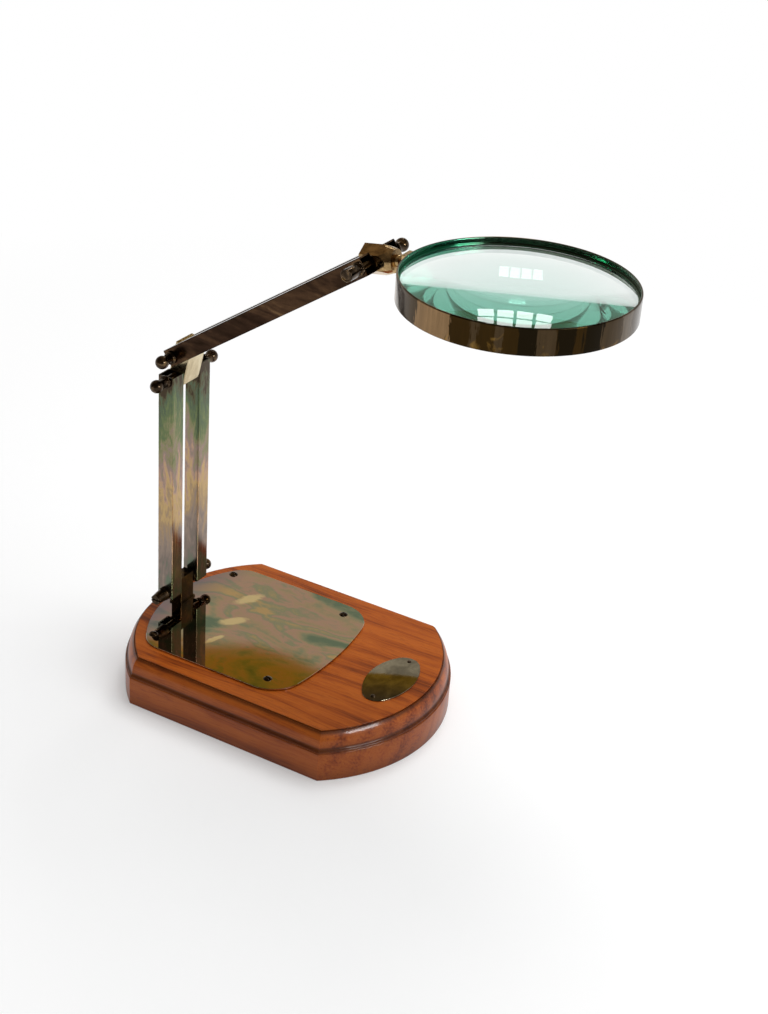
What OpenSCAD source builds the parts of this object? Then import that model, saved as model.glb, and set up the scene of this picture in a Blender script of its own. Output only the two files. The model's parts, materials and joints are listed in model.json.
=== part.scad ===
// Stand magnifier: a six inch lens on a jointed double-tube arm over a moulded wooden base.
// X runs along the base towards the lens, Y across it and Z up, in millimetres.
// The origin is the middle of the base's underside.

/* [Wooden base] */
// Length over the two bowed ends
base_l = 250; // [240:1:280]
// Width between the straight sides
base_w = 180; // [172:1:210]
// How far each end bows out past the corners
end_bow = 42.6; // [30:0.1:60]
// Height of the upright lower band
plinth_h = 23.3; // [18:0.1:32]
// Height of the small square fillet on the lower band
fillet_h = 1.5; // [1:0.1:3]
// How far the fillet steps in
fillet_in = 0.8; // [0.4:0.1:1.2]
// Height of the cove above the fillet
cove_h = 2; // [1.4:0.1:3]
// Height of the ovolo above the cove
ovolo_h = 11.1; // [9:0.1:14]
// How far the cove steps in
cove_in = 1.4; // [0.8:0.1:2]
// How far the ovolo curves in over its height
ovolo_in = 4.2; // [3:0.1:6]
// Step between the ovolo and the flat top
quirk_in = 1.1; // [0.5:0.1:1.5]
// Height of that step
quirk_h = 1.3; // [0.8:0.1:2]
// Radius that eases the lower edges
ease_r = 0.8; // [0.4:0.1:1.5]

/* [Brass plates on the base] */
// Length of the large plate
plate_l = 151; // [140:1:158]
// Width of the large plate
plate_w = 134; // [120:1:140]
// Thickness of the large plate
plate_t = 1.4; // [0.8:0.1:2.5]
// Radius of the circle that bows the large plate's back end
plate_back_r = 100; // [90:1:160]
// Radius of the large plate's back corners
plate_back_corner_r = 20; // [12:1:24]
// Radius of the circle that bows the large plate's front end
plate_front_r = 250; // [150:5:500]
// Radius of the large plate's front corners
plate_front_corner_r = 27; // [18:1:34]
// Inset of the large plate from the base's back end
plate_in = 15.4; // [13:0.1:20]
// Inset of the back screws from the plate's back end
back_screw_in = 22; // [20:0.5:28]
// Inset of the front screws from the plate's front end
front_screw_in = 26; // [20:0.5:30]
// Inset of the plate screws from the plate's sides
side_screw_in = 13.5; // [13:0.5:18]
// Length of the oval plate, across the base
oval_l = 64; // [58:1:70]
// Width of the oval plate
oval_w = 35; // [32:1:40]
// Radius of the oval plate's two tips
oval_tip_r = 11; // [8:0.5:13]
// Thickness of the oval plate at its rim
oval_rim_t = 0.7; // [0.4:0.1:1.2]
// Rise of the oval plate's dome over the rim
oval_dome = 0.8; // [0.4:0.1:1.4]
// Distance from the base's front end to the oval plate's middle
oval_in = 36; // [32:0.5:40]
// Inset of the oval plate's pins from its tips
oval_pin_in = 5; // [4:0.5:8]

/* [Wood screws and pins] */
// Radius of a plate screw's shank
screw_r = 1.7; // [1.2:0.1:2.2]
// Length of a plate screw's shank
screw_l = 14; // [8:0.5:20]
// Radius of a plate screw's head
screw_head_r = 3.6; // [3:0.1:4.5]
// Height of a plate screw's domed head
screw_head_h = 1.9; // [1.4:0.1:2.6]
// Radius of an oval plate pin
pin_r = 0.8; // [0.6:0.1:1.2]
// Length of an oval plate pin
pin_l = 9; // [6:0.5:14]
// Radius of an oval plate pin's domed head
pin_head_r = 1.7; // [1.4:0.1:2.4]
// Height of an oval plate pin's domed head
pin_head_h = 0.9; // [0.7:0.1:1.2]

/* [Post] */
// Distance from the base's back end to the middle of the post
post_in = 25.7; // [24:0.1:30]
// Thickness of the post along X
post_t = 9.2; // [9:0.1:12]
// Width of the post across the base
post_w = 16.6; // [14:0.1:18]
// Height of the base pivot over the large plate
pivot_over = 16.6; // [13:0.1:24]
// Height of the post over the base pivot
post_over = 6.8; // [5:0.1:10]
// Width and height of the foot flange round the post
foot_step = 1.2; // [0.8:0.1:2]
// Radius of the bolt that holds the post from below
bolt_r = 2.5; // [2:0.1:3]
// How far the bolt goes into the post
bolt_in_post = 9; // [6:0.5:9]
// Radius of the bolt's head
bolt_head_r = 4.8; // [4:0.1:5.5]
// Height of the bolt's head
bolt_head_h = 3.4; // [2.5:0.1:4.5]
// Radius of the washer under the bolt's head
bolt_washer_r = 7.5; // [6:0.1:8.5]
// Thickness of that washer
bolt_washer_t = 1.2; // [0.8:0.1:2]
// Depth of the counterbore under the base
counterbore_h = 10; // [7:0.5:14]

/* [Arms] */
// Outside size of the square tubes
tube_w = 13.2; // [12:0.1:13.6]
// Wall of the square tubes
tube_wall = 1; // [0.8:0.1:1.5]
// Radius of the tubes' outer corners
tube_corner_r = 0.8; // [0.4:0.1:1.5]
// Open gap between the two tubes of a pair
tube_gap = 20; // [19:0.1:23]
// How far a tube runs past the middle of its rod
tube_past = 3.8; // [3.4:0.1:5]
// Distance between the rods of the lower arm
lower_arm_l = 178.3; // [160:0.1:200]
// Distance between the rods of the upper arm
upper_arm_l = 181; // [160:0.1:200]
// Rise of the upper arm over the horizontal
upper_rise = 35; // [25:0.5:45]

/* [Elbow link] */
// Distance between the link's two rods
link_l = 20.7; // [19:0.1:26]
// Lean of the link from the upright towards the lens
link_lean = 13; // [5:0.5:20]
// Thickness of the link along X
link_t = 13.8; // [11:0.1:15]
// How far the link runs past its rods
link_past = 4.8; // [4:0.1:7]

/* [Rods and knobs] */
// Radius of the rods
rod_r = 2.3; // [1.8:0.1:2.5]
// Distance from the middle plane to a knob ball's centre
knob_reach = 33.9; // [33:0.1:38]
// Radius of the knob balls
knob_ball_r = 4.9; // [4.5:0.1:6]
// Distance from the middle plane to the base's round knob's centre
short_knob_reach = 31; // [30.5:0.1:34]
// Radius of the base's round knob
short_knob_r = 4.4; // [4.1:0.1:5.5]
// Radius of the knobs' necks
knob_neck_r = 3.7; // [3.2:0.1:4.2]
// Radius of the necks' shoulder against the tube
knob_shoulder_r = 4.9; // [4.4:0.1:5.5]
// Thickness of that shoulder
knob_shoulder_t = 1.6; // [1:0.1:2.5]
// Depth of the rods' thread in a knob
knob_thread = 8; // [5:0.5:9]
// Radius of the slotted knob at its outer end
slot_knob_tip_r = 3.8; // [3.5:0.1:4.6]
// Radius of the slotted knob against the tube
slot_knob_root_r = 5.2; // [4.8:0.1:6]
// Length of the slotted knob
slot_knob_l = 12; // [11:0.5:16]
// Radius of the flat knob on the head
flat_knob_r = 4.4; // [4.1:0.1:5.5]
// Length of the flat knob's grip
flat_knob_l = 9; // [6:0.5:12]
// Width of the rim round the flat knob's end
flat_knob_rim = 1; // [0.6:0.1:1.4]
// Depth of the shallow dish in the flat knob's end
flat_knob_dish = 0.5; // [0.3:0.1:0.8]
// Width of the screwdriver slots
slot_w = 1.1; // [0.8:0.1:1.5]
// Depth of the screwdriver slots
slot_d = 1.2; // [0.8:0.1:1.5]
// Radius of the spacer sleeves inside the tubes
sleeve_r = 3.3; // [3:0.05:3.35]
// Radius of the washers beside the post and the head block
washer_r = 5.4; // [4.5:0.1:6]

/* [Head] */
// Width of the hexagonal head block across its flats
head_flats = 18.2; // [17:0.1:19]
// Length of the head block behind the head rod
head_back = 8; // [5:0.1:10]
// Length of the head block in front of the head rod
head_front = 15.2; // [14:0.1:18]
// Length of the turned taper on the block's nose
nose_l = 9; // [4:0.5:9]
// Radius of the nose at its front
nose_r = 8; // [7:0.1:8.6]
// Angle by which the head block's nose is raised
head_pitch = 9; // [4:0.5:10]
// Radius of the ball
ball_r = 3.2; // [2.8:0.1:3.4]
// Distance from the block's front to the ball's centre
ball_out = 1; // [0.8:0.1:1.4]
// Radius of the ball's neck
neck_r = 1.7; // [1.3:0.1:1.8]
// Outside radius of the collar that holds the ball
collar_r = 4.3; // [4.1:0.1:5]
// Distance from the ball's centre to the collar's mouth
collar_mouth = 2; // [1.8:0.1:2.1]

/* [Lens] */
// Radius of the lens ring's outside
ring_r = 78; // [70:0.5:86]
// Height of the lens ring
ring_h = 18.2; // [17:0.1:24]
// Wall of the lens ring
ring_wall = 1.3; // [1:0.1:2]
// Radius of the bead on the ring's two edges
bead_r = 0.8; // [0.6:0.05:1]
// Distance from the ball's centre to the ring's outside
ring_reach = 9.7; // [9.4:0.1:14]
// Thickness of the lens at its edge
lens_edge_t = 3; // [2:0.1:4]
// Rise of each face of the lens
lens_rise = 5.9; // [4:0.1:6]
// Height of the lens's middle over the ring's middle
lens_up = 1.5; // [0:0.25:2]
// Thickness of the retaining rings, in and up
keeper_t = 1.4; // [1:0.1:2]
// Width of the boss on the ring
boss_w = 11; // [9:0.1:14]
// Height of the boss on the ring
boss_h = 14.6; // [12:0.1:16]
// Length of the boss in front of the ring
boss_l = 4.6; // [4:0.1:4.8]
// Solid metal left behind the ball's neck in the boss
boss_web = 0.5; // [0.4:0.1:1]

/* [Clearances] */
// Radial clearance of a rod in its holes
run_fit = 0.08; // [0.03:0.01:0.1]
// Clearance beside a sliding flat face
side_play = 0.15; // [0.1:0.05:0.25]
// Clearance round fixed screws, pins and inlaid pieces
seat_play = 0.05; // [0.02:0.01:0.1]
// Room left at the end of a blind hole
thread_gap = 0.5; // [0.3:0.1:0.8]
// Clearance round the bolt's washer
bore_play = 0.5; // [0.3:0.1:1]

/* [Hidden] */
$fn = 64;
// How far a cutting shape runs past the face it opens
over = 1;

// Heights and insets of the base's moulding
cove_z = plinth_h + fillet_h;
ovolo_z = cove_z + cove_h;
quirk_z = ovolo_z + ovolo_h;
base_h = quirk_z + quirk_h;
cove_at = fillet_in + cove_in;
top_in = cove_at + ovolo_in + quirk_in;
// The ovolo stands upright at its foot, so its centre is level with that foot
ovolo_r = (ovolo_in * ovolo_in + ovolo_h * ovolo_h) / (2 * ovolo_in);
// The bowed ends are arcs through the corners
end_r = (pow(base_w / 2, 2) + end_bow * end_bow) / (2 * end_bow);
end_x = base_l / 2 - end_r;

// Each domed face is part of a sphere, found from its base radius and its rise
function cap_radius(r, h) = (r * r + h * h) / (2 * h);

// Places on the base
plate_top = base_h + plate_t;
plate_x = -base_l / 2 + plate_in + plate_l / 2;
back_screw_x = plate_x - plate_l / 2 + back_screw_in;
front_screw_x = plate_x + plate_l / 2 - front_screw_in;
screw_y = plate_w / 2 - side_screw_in;
oval_x = base_l / 2 - oval_in;
oval_t = oval_rim_t + oval_dome;
oval_face_r = cap_radius(oval_l / 2, oval_dome);
function oval_face_z(x) = oval_t - oval_face_r + sqrt(oval_face_r * oval_face_r - x * x);
// Flat bands that stand for the dome's very slight curve
oval_bands = 8;
oval_pin_y = oval_l / 2 - oval_pin_in;
post_x = -base_l / 2 + post_in;
pivot_z = plate_top + pivot_over;
post_top = pivot_z + post_over;
bolt_bottom = counterbore_h - bolt_washer_t;

// Places of the tubes across the base
tube_in_y = tube_gap / 2;
tube_mid_y = tube_in_y + tube_w / 2;
tube_out_y = tube_in_y + tube_w;
tube_bore = tube_w - 2 * tube_wall;
between_w = tube_gap - 2 * side_play;
knob_in_y = tube_out_y + side_play;
hole_r = rod_r + run_fit;
rod_end_y = knob_in_y + knob_thread - thread_gap;

// Places of the pivots, each as [x, z]
base_pivot = [post_x, pivot_z];
lower_elbow = base_pivot + [0, lower_arm_l];
upper_elbow = lower_elbow + link_l * [sin(link_lean), cos(link_lean)];
head_pivot = upper_elbow + upper_arm_l * [cos(upper_rise), sin(upper_rise)];
ball_at = head_pivot + (head_front + ball_out) * [cos(head_pitch), sin(head_pitch)];

// The ring is level and its middle height is that of the ball
ring_x = ball_at[0] + ring_reach + ring_r;
ring_z = ball_at[1];
bore_r = ring_r - ring_wall;
lens_r = bore_r - seat_play;
lens_face_r = cap_radius(lens_r, lens_rise);
// A retaining ring's inner edge clears the lens's rising face
keeper_r = lens_r - keeper_t;
keeper_rise = lens_rise - lens_face_r + sqrt(pow(lens_face_r, 2) - pow(keeper_r, 2));
keeper_z = lens_edge_t / 2 + keeper_rise + side_play;

// Sets children at a pivot given as [x, z]
module at_pivot(p) {
    translate([p[0], 0, p[1]]) children();
}

// A round bar along Y, between two places across the base
module bar_y(r, from, to) {
    translate([0, from, 0]) rotate([-90, 0, 0]) cylinder(r = r, h = to - from);
}

// A pair of mirrored children, near and far
module both_sides() {
    children();
    mirror([0, 1, 0]) children();
}

// A shallow dome with a flat underside
module dome(r, h) {
    rotate_extrude() intersection() {
        translate([0, h - cap_radius(r, h)]) circle(r = cap_radius(r, h), $fn = 360);
        square([r, h]);
    }
}

// A box with its long upright edges rounded, standing on z = 0
module rounded_bar(x, y, z, r) {
    linear_extrude(z) union() {
        square([x - 2 * r, y], center = true);
        square([x, y - 2 * r], center = true);
        for (i = [-1, 1]) for (j = [-1, 1])
            translate([i * (x / 2 - r), j * (y / 2 - r)]) circle(r = r, $fn = 32);
    }
}

// Half section of the base, from its middle out to the upright band at reach
module base_section(reach) {
    translate([0, ease_r]) square([reach, plinth_h - 2 * ease_r]);
    square([reach - ease_r, plinth_h]);
    for (z = [ease_r, plinth_h - ease_r]) translate([reach - ease_r, z]) circle(r = ease_r);
    translate([0, plinth_h]) square([reach - fillet_in, fillet_h]);
    difference() {
        translate([0, cove_z]) square([reach - fillet_in, cove_h]);
        translate([reach - cove_at + cove_h, ovolo_z]) circle(r = cove_h);
    }
    intersection() {
        translate([reach - cove_at - ovolo_r, ovolo_z]) circle(r = ovolo_r, $fn = 128);
        translate([0, ovolo_z]) square([reach, ovolo_h]);
    }
    translate([0, ovolo_z]) square([reach - cove_at - ovolo_r, ovolo_h]);
    translate([0, quirk_z]) square([reach - top_in, quirk_h]);
}

// The base's outside: a straight moulding with both ends cut to the bow
module base_shape() {
    difference() {
        translate([-base_l / 2, 0, 0]) rotate([90, 0, 90]) linear_extrude(base_l) {
            base_section(base_w / 2);
            mirror([1, 0]) base_section(base_w / 2);
        }
        for (side = [0, 1]) mirror([side, 0, 0]) difference() {
            translate([0, -base_w, -over]) cube([base_l, 2 * base_w, base_h + 2 * over]);
            translate([end_x, 0, 0]) rotate_extrude($fn = 180) base_section(end_r);
        }
    }
}

// Points along an arc, up to but not with its last point, which the next stretch begins with
function arc(centre, r, from, to, steps) =
    [for (i = [0:steps - 1]) let(a = from + (to - from) * i / steps) centre + r * [cos(a), sin(a)]];

// Points round a bowed end at reach, whose corners meet the side and the bow smoothly
function bowed_end(reach, width, end_radius, corner_r) =
    let(c = reach - end_radius)
    let(ky = width / 2 - corner_r)
    let(kx = c + sqrt(pow(end_radius - corner_r, 2) - ky * ky))
    let(meet = atan2(ky, kx - c))
    concat(arc([kx, -ky], corner_r, -90, -meet, 12),
           arc([c, 0], end_radius, -meet, meet, 24),
           arc([kx, ky], corner_r, meet, 90, 12),
           [[kx, width / 2]]);

// Points round an oval with its long way along Y, from two flat arcs and two tip circles
function oval_outline(length, width, tip_r) =
    let(a = length / 2 - tip_r)
    let(flat_r = (a * a + width * width / 4 - tip_r * tip_r) / (2 * (width / 2 - tip_r)))
    let(off = flat_r - width / 2)
    let(meet = atan2(a, off))
    concat(arc([-off, 0], flat_r, -meet, meet, 20),
           arc([0, a], tip_r, meet, 180 - meet, 24),
           arc([off, 0], flat_r, 180 - meet, 180 + meet, 20),
           arc([0, -a], tip_r, 180 + meet, 360 - meet, 24));

// Sets children at the four plate screws
module at_plate_screws() {
    for (x = [back_screw_x, front_screw_x]) for (j = [-1, 1]) translate([x, j * screw_y, 0]) children();
}

// Sets children at the two oval plate pins
module at_oval_pins() {
    for (j = [-1, 1]) translate([oval_x, j * oval_pin_y, 0]) children();
}

module wood_base() {
    color("#9c4a1f") difference() {
        base_shape();
        at_plate_screws() translate([0, 0, plate_top - screw_l - thread_gap])
            cylinder(r = screw_r + seat_play, h = screw_l + over);
        at_oval_pins() translate([0, 0, base_h + oval_rim_t - pin_l - thread_gap])
            cylinder(r = pin_r + seat_play, h = pin_l + over);
        translate([post_x, 0, -over]) cylinder(r = bolt_washer_r + bore_play, h = counterbore_h + over);
        translate([post_x, 0, 0]) cylinder(r = bolt_r + seat_play, h = base_h + over);
    }
}

module brass_plate() {
    front = bowed_end(plate_l / 2, plate_w, plate_front_r, plate_front_corner_r);
    back = [for (p = bowed_end(plate_l / 2, plate_w, plate_back_r, plate_back_corner_r)) -p];
    color("#8f8a6a") translate([0, 0, base_h]) difference() {
        translate([plate_x, 0, 0]) linear_extrude(plate_t) polygon(concat(front, back));
        at_plate_screws() translate([0, 0, -over]) cylinder(r = screw_r + seat_play, h = plate_t + 2 * over);
        translate([post_x, 0, -over]) cylinder(r = bolt_r + seat_play, h = plate_t + 2 * over);
    }
}

module plate_screws() {
    color("#6b5a35") at_plate_screws() translate([0, 0, plate_top]) difference() {
        union() {
            dome(screw_head_r, screw_head_h);
            translate([0, 0, -screw_l]) cylinder(r = screw_r, h = screw_l);
        }
        translate([-screw_head_r, -slot_w / 2, screw_head_h - slot_d])
            cube([2 * screw_head_r, slot_w, slot_d + over]);
    }
}

module oval_plate() {
    face_edge = oval_l / 2 + over;
    bands = [for (i = [oval_bands:-1:0]) face_edge * i / oval_bands];
    color("#4a4742") translate([oval_x, 0, base_h]) difference() {
        intersection() {
            linear_extrude(oval_t + over) polygon(oval_outline(oval_l, oval_w, oval_tip_r));
            rotate_extrude($fn = 180)
                polygon([[0, -over], [face_edge, -over], for (x = bands) [x, oval_face_z(x)]]);
        }
        for (j = [-1, 1]) translate([0, j * oval_pin_y, -over])
            cylinder(r = pin_r + seat_play, h = oval_t + 2 * over);
    }
}

module oval_plate_pins() {
    // A pin's head rests on the dome at the inner side of its hole
    seat_z = oval_face_z(oval_pin_y - pin_head_r);
    color("#57503f") at_oval_pins() translate([0, 0, base_h + seat_z]) {
        dome(pin_head_r, pin_head_h);
        translate([0, 0, -pin_l]) cylinder(r = pin_r, h = pin_l);
    }
}

module base_post() {
    foot_x = post_t + 2 * foot_step;
    foot_y = post_w + 2 * foot_step;
    color("#6d5527") difference() {
        union() {
            translate([post_x, 0, plate_top])
                rounded_bar(post_t, post_w, post_top - plate_top, tube_corner_r);
            translate([post_x, 0, plate_top]) rounded_bar(foot_x, foot_y, foot_step, foot_step);
        }
        at_pivot(base_pivot) bar_y(rod_r + seat_play, -post_w, post_w);
        translate([post_x, 0, plate_top - over])
            cylinder(r = bolt_r + seat_play, h = over + bolt_in_post + thread_gap);
    }
}

module post_bolt() {
    bolt_l = plate_top + bolt_in_post - bolt_bottom;
    color("#7a6a45") translate([post_x, 0, bolt_bottom]) difference() {
        union() {
            cylinder(r = bolt_r, h = bolt_l);
            translate([0, 0, -bolt_head_h]) cylinder(r = bolt_head_r, h = bolt_head_h);
        }
        translate([-bolt_head_r, -slot_w / 2, -bolt_head_h - over])
            cube([2 * bolt_head_r, slot_w, slot_d + over]);
    }
}

module post_bolt_washer() {
    color("#9a8a5c") translate([post_x, 0, bolt_bottom]) difference() {
        cylinder(r = bolt_washer_r, h = bolt_washer_t);
        translate([0, 0, -over]) cylinder(r = bolt_r + seat_play, h = bolt_washer_t + 2 * over);
    }
}

// A rod along Y that ends inside its two knobs
module cross_rod(end_y) {
    bar_y(rod_r, -end_y, end_y);
}

// The blind threaded hole of a knob that starts against the tube
module knob_hole() {
    bar_y(rod_r + seat_play, knob_in_y - over, knob_in_y + knob_thread);
}

// A turned knob with a ball end on the +Y side of a pivot
module ball_knob(reach, r) {
    difference() {
        union() {
            bar_y(knob_shoulder_r, knob_in_y, knob_in_y + knob_shoulder_t);
            bar_y(knob_neck_r, knob_in_y, reach);
            translate([0, reach, 0]) sphere(r = r);
        }
        knob_hole();
    }
}

// A tapered knob with a screwdriver slot, on the +Y side of a pivot
module slotted_knob() {
    end_y = knob_in_y + slot_knob_l;
    difference() {
        translate([0, knob_in_y, 0]) rotate([-90, 0, 0]) union() {
            cylinder(r = slot_knob_root_r, h = knob_shoulder_t);
            cylinder(r1 = slot_knob_root_r, r2 = slot_knob_tip_r, h = slot_knob_l);
        }
        translate([-slot_knob_root_r, end_y - slot_d, -slot_w / 2])
            cube([2 * slot_knob_root_r, slot_d + over, slot_w]);
        knob_hole();
    }
}

// A flat-ended grip on a neck, on the +Y side of a pivot
module flat_knob() {
    end_y = knob_reach + knob_ball_r;
    difference() {
        union() {
            bar_y(knob_shoulder_r, knob_in_y, knob_in_y + knob_shoulder_t);
            bar_y(knob_neck_r, knob_in_y, end_y - flat_knob_l + over);
            bar_y(flat_knob_r, end_y - flat_knob_l, end_y);
        }
        bar_y(flat_knob_r - flat_knob_rim, end_y - flat_knob_dish, end_y + over);
        knob_hole();
    }
}

module base_rod() {
    color("#5c4a2c") at_pivot(base_pivot) cross_rod(rod_end_y);
}

module base_knob_slotted() {
    color("#4a3d2b") at_pivot(base_pivot) mirror([0, 1, 0]) slotted_knob();
}

module base_knob_round() {
    color("#4a3d2b") at_pivot(base_pivot) ball_knob(short_knob_reach, short_knob_r);
}

// The pair of washers that fill the gap between a middle piece and the tubes
module gap_washers(middle_w) {
    both_sides() difference() {
        bar_y(washer_r, middle_w / 2, tube_in_y - side_play);
        bar_y(rod_r + seat_play, middle_w / 2 - over, tube_in_y + over);
    }
}

module base_washers() {
    color("#8a7a4c") at_pivot(base_pivot) gap_washers(post_w);
}

// A square tube that runs along +X from its first rod at the origin, on the +Y side
module arm_tube(length) {
    full = length + 2 * tube_past;
    translate([0, tube_mid_y, 0]) difference() {
        translate([-tube_past, 0, 0]) rotate([90, 0, 90]) rounded_bar(tube_w, tube_w, full, tube_corner_r);
        translate([-tube_past - over, -tube_bore / 2, -tube_bore / 2])
            cube([full + 2 * over, tube_bore, tube_bore]);
        for (x = [0, length]) translate([x, 0, 0]) bar_y(hole_r, -tube_w, tube_w);
    }
}

// The spacer sleeves of one pair of tubes, round both rods
module tube_sleeves(length) {
    in_y = tube_in_y + tube_wall;
    both_sides() for (x = [0, length]) translate([x, 0, 0]) difference() {
        bar_y(sleeve_r, in_y + seat_play, in_y + tube_bore - seat_play);
        bar_y(hole_r, in_y - over, in_y + tube_bore + over);
    }
}

// Turns an arm drawn along +X to its own direction at its first pivot
module on_lower_arm() {
    at_pivot(base_pivot) rotate([0, -90, 0]) children();
}

module on_upper_arm() {
    at_pivot(upper_elbow) rotate([0, -upper_rise, 0]) children();
}

module lower_tube_near() {
    color("#86795a") on_lower_arm() mirror([0, 1, 0]) arm_tube(lower_arm_l);
}

module lower_tube_far() {
    color("#86795a") on_lower_arm() arm_tube(lower_arm_l);
}

module lower_tube_sleeves() {
    color("#a39468") on_lower_arm() tube_sleeves(lower_arm_l);
}

module upper_tube_near() {
    color("#5d4f38") on_upper_arm() mirror([0, 1, 0]) arm_tube(upper_arm_l);
}

module upper_tube_far() {
    color("#5d4f38") on_upper_arm() arm_tube(upper_arm_l);
}

module upper_tube_sleeves() {
    color("#a39468") on_upper_arm() tube_sleeves(upper_arm_l);
}

module elbow_link() {
    color("#b5a16a") at_pivot(lower_elbow) rotate([0, link_lean, 0]) difference() {
        translate([0, 0, -link_past]) rounded_bar(link_t, between_w, link_l + 2 * link_past, tube_corner_r);
        for (z = [0, link_l]) translate([0, 0, z]) bar_y(rod_r + seat_play, -between_w, between_w);
    }
}

module elbow_lower_rod() {
    color("#5c4a2c") at_pivot(lower_elbow) cross_rod(rod_end_y);
}

module elbow_lower_knobs() {
    color("#4a3d2b") at_pivot(lower_elbow) both_sides() ball_knob(knob_reach, knob_ball_r);
}

module elbow_upper_rod() {
    color("#5c4a2c") at_pivot(upper_elbow) cross_rod(rod_end_y);
}

module elbow_upper_knobs() {
    color("#4a3d2b") at_pivot(upper_elbow) both_sides() ball_knob(knob_reach, knob_ball_r);
}

// Sets children at the head rod with X along the pitched head block
module on_head() {
    at_pivot(head_pivot) rotate([0, -head_pitch, 0]) children();
}

// The hollow that the ball turns in
module ball_hollow() {
    translate([head_front + ball_out, 0, 0]) sphere(r = ball_r + run_fit);
}

module head_block() {
    corner_r = head_flats / sqrt(3);
    straight_l = head_back + head_front - nose_l;
    color("#8a6c35") on_head() difference() {
        translate([-head_back, 0, 0]) rotate([0, 90, 0]) intersection() {
            cylinder(r = corner_r, h = head_back + head_front, $fn = 6);
            union() {
                cylinder(r = corner_r, h = straight_l);
                translate([0, 0, straight_l]) cylinder(r1 = corner_r, r2 = nose_r, h = nose_l);
            }
        }
        bar_y(rod_r + seat_play, -head_flats, head_flats);
        ball_hollow();
    }
}

module head_rod() {
    color("#5c4a2c") at_pivot(head_pivot) cross_rod(rod_end_y);
}

module head_knob_flat() {
    color("#4a3d2b") at_pivot(head_pivot) mirror([0, 1, 0]) flat_knob();
}

module head_knob_round() {
    color("#4a3d2b") at_pivot(head_pivot) ball_knob(knob_reach, knob_ball_r);
}

module head_washers() {
    color("#8a7a4c") at_pivot(head_pivot) gap_washers(head_flats);
}

module ball_collar() {
    color("#9b7b3c") on_head() translate([head_front, 0, 0]) difference() {
        union() {
            rotate([0, 90, 0]) cylinder(r = collar_r, h = ball_out);
            translate([ball_out, 0, 0]) sphere(r = collar_r);
        }
        translate([-2 * collar_r, -collar_r, -collar_r]) cube(2 * collar_r);
        translate([ball_out + collar_mouth, -collar_r, -collar_r]) cube(2 * collar_r);
        translate([-head_front, 0, 0]) ball_hollow();
    }
}

module lens_ball() {
    color("#a88a48") at_pivot(ball_at) {
        sphere(r = ball_r);
        rotate([0, 90, 0]) cylinder(r = neck_r, h = ring_reach - boss_web - side_play);
    }
}

// Sets children at the middle of the lens ring
module on_ring() {
    translate([ring_x, 0, ring_z]) children();
}

// Sets children at the middle of the lens
module on_lens() {
    translate([ring_x, 0, ring_z + lens_up]) children();
}

module ring_boss() {
    color("#9b7b3c") on_ring() difference() {
        translate([-ring_r - boss_l, -boss_w / 2, -boss_h / 2]) cube([2 * boss_l, boss_w, boss_h]);
        translate([0, 0, -ring_h]) cylinder(r = ring_r, h = 2 * ring_h, $fn = 180);
        translate([-ring_r - 2 * boss_l, 0, 0]) rotate([0, 90, 0])
            cylinder(r = neck_r + run_fit, h = 2 * boss_l - boss_web);
    }
}

module lens_ring() {
    color("#5a4a2a") on_ring() rotate_extrude($fn = 180) {
        translate([bore_r, -ring_h / 2 + bead_r]) square([ring_wall, ring_h - 2 * bead_r]);
        for (j = [-1, 1])
            translate([ring_r - bead_r, j * (ring_h / 2 - bead_r)]) circle(r = bead_r, $fn = 32);
    }
}

module lens_glass() {
    color("#bfe3d2") on_lens() {
        translate([0, 0, -lens_edge_t / 2]) cylinder(r = lens_r, h = lens_edge_t, $fn = 180);
        for (side = [0, 1]) mirror([0, 0, side]) translate([0, 0, lens_edge_t / 2])
            rotate_extrude($fn = 180) intersection() {
                translate([0, lens_rise - lens_face_r]) circle(r = lens_face_r, $fn = 1440);
                square([lens_r, lens_rise]);
            }
    }
}

// A retaining ring inside the lens ring, with its lower face on z = 0
module keeper() {
    rotate_extrude($fn = 180) translate([keeper_r, 0]) square([keeper_t, keeper_t]);
}

module lower_retaining_ring() {
    color("#5a4a2a") on_lens() mirror([0, 0, 1]) translate([0, 0, keeper_z]) keeper();
}

module upper_retaining_ring() {
    color("#5a4a2a") on_lens() translate([0, 0, keeper_z]) keeper();
}

wood_base();
brass_plate();
plate_screws();
oval_plate();
oval_plate_pins();
base_post();
post_bolt();
post_bolt_washer();
base_rod();
base_knob_slotted();
base_knob_round();
base_washers();
lower_tube_near();
lower_tube_far();
lower_tube_sleeves();
elbow_link();
elbow_lower_rod();
elbow_lower_knobs();
elbow_upper_rod();
elbow_upper_knobs();
upper_tube_near();
upper_tube_far();
upper_tube_sleeves();
head_block();
head_rod();
head_knob_flat();
head_knob_round();
head_washers();
ball_collar();
lens_ball();
ring_boss();
lens_ring();
lens_glass();
lower_retaining_ring();
upper_retaining_ring();
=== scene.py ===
import json
import math

import bmesh
import bpy
from mathutils import Matrix, Vector


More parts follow.
